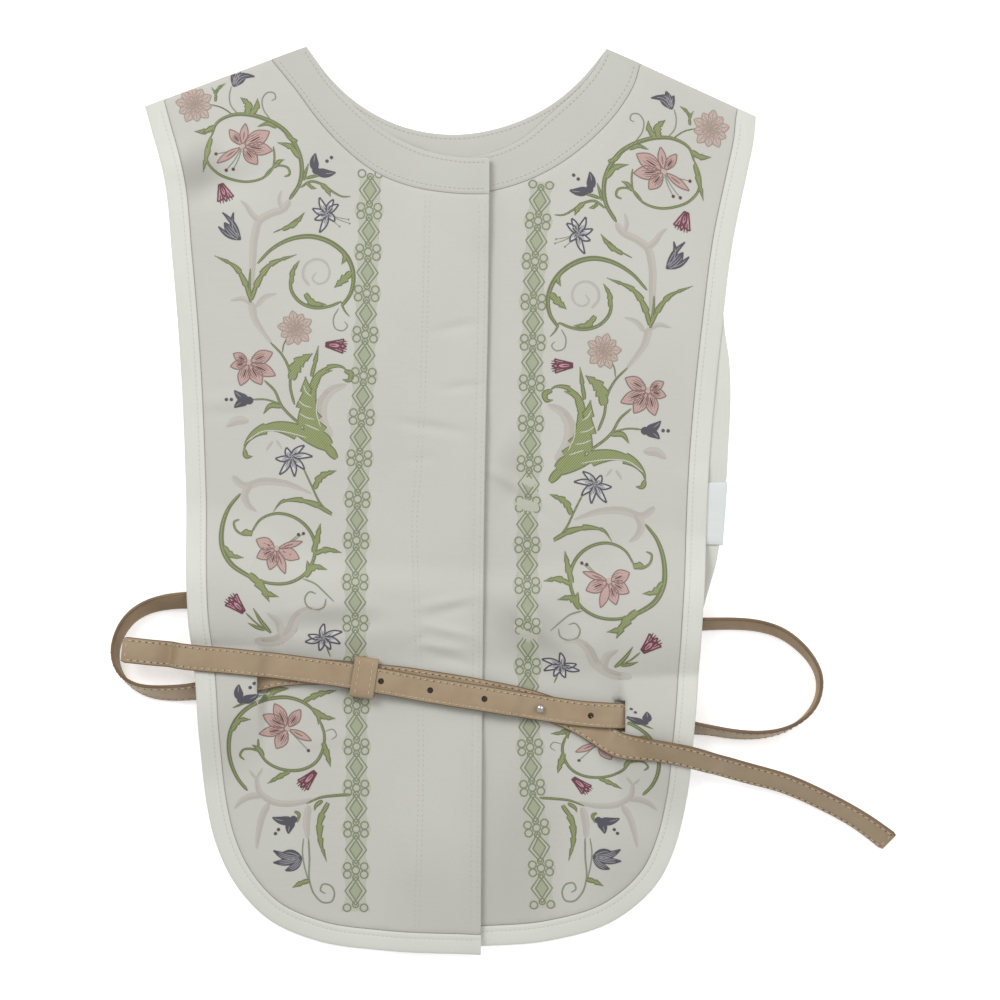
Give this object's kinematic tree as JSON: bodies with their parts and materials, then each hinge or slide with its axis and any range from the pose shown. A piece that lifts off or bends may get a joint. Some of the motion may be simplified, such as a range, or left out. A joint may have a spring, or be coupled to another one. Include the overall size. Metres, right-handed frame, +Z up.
{
  "type": "apron vest",
  "caption": "Open-sided apron vest laid flat, with bound edges, a shaped neckband, scroll embroidery and a narrow leather belt through slits in the fronts.",
  "frame": {"origin": "on the surface under the middle of the whole outline, belt included", "axes": "+Y towards the shoulders, +X to the right as seen from the front, +Z up from the surface, out of the front of the vest"},
  "size_m": [0.4855, 0.5626, 0.0233],
  "materials": {
    "cloth": "fine woven silk-like cloth with a soft sheen and woven scrolls",
    "neckband": "the same cloth, plain, edge-stitched twice",
    "binding": "off-white matt cotton binding, stitched near its inner edge",
    "label": "blank bluish white satin label",
    "leather": "tan smooth leather, cream stitching along both edges",
    "stud": "small polished ball stud"
  },
  "bodies": {
    "root": {"back_panel": "cloth", "back_neck_band": "neckband", "back_binding": "binding", "front_left_panel": "cloth", "front_right_panel": "cloth", "neck_band_left": "neckband", "neck_band_right": "neckband", "binding_left": "binding", "binding_right": "binding", "care_label": "label", "belt_top_strap": "leather", "belt_right_loop": "leather", "belt_back_strap": "leather", "belt_left_loop": "leather", "belt_under_strap": "leather", "belt_keeper": "leather", "belt_stud": "stud"}
  },
  "joints": []
}
